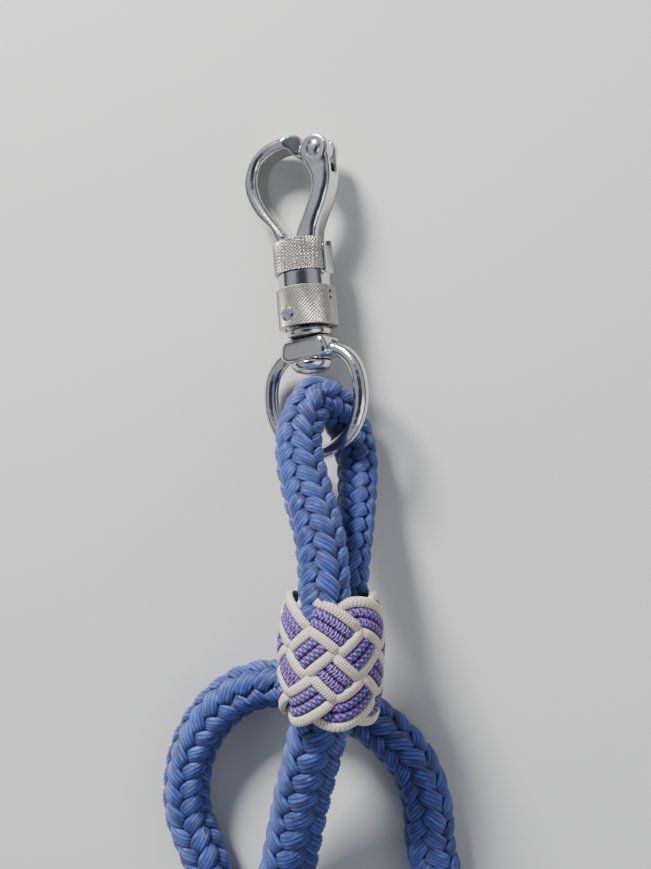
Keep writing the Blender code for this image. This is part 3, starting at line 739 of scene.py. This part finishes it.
def snap_frame():
    """The snap's own axes: X across, Y along the swivel from the sleeves' top, Z out of the hook's face."""
    place = Matrix.Translation(Vector(ROUTE_SHIFT) + Vector((0, 0, SNAP_HEIGHT)))
    return place @ Matrix.Rotation(-SNAP_PITCH, 4, "X")


def rounded(outline, rounds=3):
    """A closed outline with its corners cut again and again until they are round."""
    points = np.array(outline, float) * MM
    for _ in range(rounds):
        following = np.roll(points, -1, axis=0)
        leaving = (1 - CORNER_CUT) * points + CORNER_CUT * following
        arriving = CORNER_CUT * points + (1 - CORNER_CUT) * following
        points = np.stack([leaving, arriving], axis=1).reshape(-1, 2)
    return points


def make_turned(name, outline, material, stands_for, steps=128):
    """A closed outline of (radius, y), in millimetres, turned about the snap's axis."""
    section = rounded(outline)
    angle = np.linspace(0, TURN, steps, endpoint=False)[:, None]
    along = section[None, :, 1] + 0 * angle
    radius = section[None, :, 0]
    points = np.stack([radius * np.cos(angle), along, radius * np.sin(angle)], axis=-1)
    mesh = mesh_of(name, points.reshape(-1, 3), loop_faces(*points.shape[:2]))
    mesh.transform(snap_frame())
    new_piece(name, mesh, "snap", material, (stands_for,))


def knurled_sleeve(ends, inside, turn_from, turn_to):
    """Rows of points around a sleeve's closed section: a knurled outside, then the given inside points."""
    top, end = ends
    pitch = KNURL_PITCH / KNURL_STEPS
    y = np.linspace(top, end, int((top - end) / pitch) + 1)
    angle = np.linspace(turn_from, turn_to, KNURLS * KNURL_STEPS + 1)[:, None]
    around = angle * KNURLS / TURN
    rise = 1 - 2 * np.abs(np.mod(around + y / KNURL_PITCH, 1) - 0.5)
    fall = 1 - 2 * np.abs(np.mod(around - y / KNURL_PITCH, 1) - 0.5)
    edge = np.clip(np.minimum(top - y, y - end) / RIM_LENGTH, 0, 1)
    depth = KNURL_DEPTH * (1 - np.minimum(np.minimum(rise, fall) * KNURL_FLANK, 1)) * edge
    depth = depth + RIM_DROP * (1 - edge) ** 2
    radius = np.hstack([SLEEVE_RADIUS - depth, np.tile([point[0] for point in inside], (len(angle), 1))])
    along = np.concatenate([y, [point[1] for point in inside]])[None, :] + 0 * angle
    return np.stack([radius * np.cos(angle), along, radius * np.sin(angle)], axis=-1)


def cylinder(radius, low, high, matrix):
    """A cutter along its own Z axis, placed in the snap's frame."""
    work = bmesh.new()
    bmesh.ops.create_cone(work, cap_ends=True, segments=48, radius1=radius, radius2=radius, depth=high - low)
    bmesh.ops.translate(work, vec=(0, 0, (low + high) / 2), verts=work.verts)
    bmesh.ops.transform(work, matrix=matrix, verts=work.verts)
    mesh = bpy.data.meshes.new("cutter")
    work.to_mesh(mesh)
    work.free()
    cutter = bpy.data.objects.new("cutter", mesh)
    bpy.context.scene.collection.objects.link(cutter)
    return cutter


def without(mesh, cutters):
    """The mesh with the cutters' shapes taken out of it; the cutters are removed."""
    item = bpy.data.objects.new("whole", mesh)
    bpy.context.scene.collection.objects.link(item)
    for cutter in cutters:
        cut = item.modifiers.new("cut", "BOOLEAN")
        cut.operation = "DIFFERENCE"
        cut.solver = "EXACT"
        cut.object = cutter
    graph = bpy.context.evaluated_depsgraph_get()
    result = bpy.data.meshes.new_from_object(item.evaluated_get(graph))
    for used in [item, *cutters]:
        bpy.data.objects.remove(used)
    return result


def make_collar(material):
    """The sliding sleeve, open along its slot, with the narrower lip at its mouth."""
    top, end = COLLAR_ENDS
    lip = top - MOUTH_LIP
    inside = [(COLLAR_BORE, end), (COLLAR_BORE, lip), (MOUTH_RADIUS, lip), (MOUTH_RADIUS, top)]
    points = knurled_sleeve(COLLAR_ENDS, inside, SLOT_HALF_ANGLE, TURN - SLOT_HALF_ANGLE)
    mesh = mesh_of("collar_knurled", points.reshape(-1, 3), strip_faces(*points.shape[:2], 0), False)
    mesh.transform(snap_frame() @ Matrix.Rotation(-SNAP_ROLL, 4, "Y"))
    new_piece("collar_knurled", mesh, "collar", material, ("lock_collar",))


def make_barrel(material):
    """The fixed sleeve, seated wider at its top, with its screw's well and two small staking holes."""
    top, end = BARREL_ENDS
    seat = top - SEAT_DEPTH
    inside = [(BARREL_BORE, end), (BARREL_BORE, seat), (SEAT_RADIUS, seat), (SEAT_RADIUS, top)]
    points = knurled_sleeve(BARREL_ENDS, inside, 0, TURN)[:-1]
    mesh = mesh_of("barrel_knurled", points.reshape(-1, 3), loop_faces(*points.shape[:2]), False)
    cutters = [cylinder(WELL_RADIUS, WELL_FLOOR, CUTTER_TOP, Matrix.Translation((*SCREW_AT, 0)))]
    for along in STAKES_AT:
        place = Matrix.Translation((0, along, 0)) @ Matrix.Rotation(STAKE_TURN, 4, "Y")
        cutters.append(cylinder(STAKE_RADIUS, STAKE_FLOOR, CUTTER_TOP, place))
    mesh = without(mesh, cutters)
    mesh.transform(snap_frame() @ Matrix.Rotation(-SNAP_ROLL, 4, "Y"))
    new_piece("barrel_knurled", mesh, "snap", material, ("lower_barrel",))


def make_whipping():
    """Twine wound tightly around the rope's free end, from its outer turn to its inner one."""
    end = np.array(ARCH_ROUTE[-1]) * MM + ROUTE_SHIFT
    before = np.array(ARCH_ROUTE[-2]) * MM + ROUTE_SHIFT
    line = Line(np.array([end, end + (before - end) * 2.4]))
    turns = np.linspace(0, WHIPPING_TURNS, WHIPPING_TURNS * TWINE_STEPS)
    where = WHIPPING_START + turns * TWINE * TWINE_PACKING
    path = line.around(where, TURN * turns, np.full_like(turns, WHIPPING_REACH))
    heading = np.gradient(path, axis=0)
    heading /= np.linalg.norm(heading, axis=1)[:, None]
    axis = line.tangents[0]
    out = np.cross(axis, heading)
    spin = np.linspace(0, TURN, TWINE_SIDES, endpoint=False)
    ring = np.cos(spin)[None, :, None] * out[:, None, :] + np.sin(spin)[None, :, None] * axis
    points = path[:, None, :] + ring * TWINE / 2
    mesh = mesh_of("whipping_twine", points.reshape(-1, 3), strip_faces(len(path), len(spin), 0))
    twine = new_material("whipping_cream", from_srgb(206, 194, 172), 0.8)
    return new_piece("whipping_twine", mesh, "lead", twine, ("end_whipping",))


def make_steel():
    """The snap's steel: CAD nodes that are shown, and the pieces that stand for the others."""
    polished = steel_material("steel_polished", (0.70, 0.69, 0.68), 0.08, 0.24)
    knurled = knurl_material()
    for name in POLISHED:
        dress(NODES[name], polished)
    make_collar(knurled)
    make_barrel(knurled)
    for name, (voxel, rounds, growth) in SOFTENED.items():
        remesh(NODES[name], voxel, rounds, growth)
    make_turned("post_head", POST_HEAD, polished, "swivel_post")
    make_turned("washer_ring", WASHER_FORM, polished, "swivel_washer")


# Stage


def make_floor():
    corners = [(-FLOOR_REACH, -FLOOR_REACH, 0), (FLOOR_REACH, -FLOOR_REACH, 0)]
    corners += [(FLOOR_REACH, FLOOR_REACH, 0), (-FLOOR_REACH, FLOOR_REACH, 0)]
    mesh = mesh_of("floor", np.array(corners), [[0, 1, 2, 3]])
    floor = bpy.data.objects.new("floor", mesh)
    bpy.context.scene.collection.objects.link(floor)
    mesh.materials.append(new_material("floor_pale", (0.62, 0.61, 0.59), 0.7))


def make_light(name, place, size, power):
    light = bpy.data.lights.new(name, "AREA")
    light.shape = "RECTANGLE"
    light.size, light.size_y = size
    light.energy = power
    item = bpy.data.objects.new(name, light)
    item.location = place
    item.rotation_euler = Vector(place).to_track_quat("Z", "Y").to_euler()
    bpy.context.scene.collection.objects.link(item)


def make_camera():
    camera = bpy.data.cameras.new("camera")
    camera.lens = LENS_MM
    camera.sensor_width = SENSOR_MM
    camera.clip_start = 0.01
    item = bpy.data.objects.new("camera", camera)
    item.location = CAMERA_AT
    item.rotation_euler = (0, CAMERA_LEAN, -CAMERA_ROLL)
    bpy.context.scene.collection.objects.link(item)
    bpy.context.scene.camera = item


def make_lights():
    world = bpy.data.worlds.new("studio")
    world.use_nodes = True
    tree = world.node_tree
    background = tree.nodes["Background"]
    background.inputs["Strength"].default_value = WORLD_STRENGTH
    source = tree.nodes.new("ShaderNodeTexCoord")
    split = tree.nodes.new("ShaderNodeSeparateXYZ")
    ramp = tree.nodes.new("ShaderNodeValToRGB")
    tree.links.new(source.outputs["Generated"], split.inputs[0])
    tree.links.new(split.outputs["Z"], ramp.inputs[0])
    tree.links.new(ramp.outputs[0], background.inputs["Color"])
    steps = ramp.color_ramp.elements
    steps[0].position, steps[1].position = WORLD_BANDS[0][0], WORLD_BANDS[-1][0]
    for position, _ in WORLD_BANDS[1:-1]:
        steps.new(position)
    for step, (_, colour) in zip(steps, WORLD_BANDS):
        step.color = (*colour, 1)
    bpy.context.scene.world = world
    make_light("key", *KEY_LIGHT)
    make_light("fill", *FILL_LIGHT)


make_camera()
make_lights()
make_floor()
blue = rope_material()
make_lead_rope(blue, make_whipping())
make_rope_eye(blue)
make_knot(cream_material(), pattern_material())
make_steel()

bpy.context.view_layer.update()
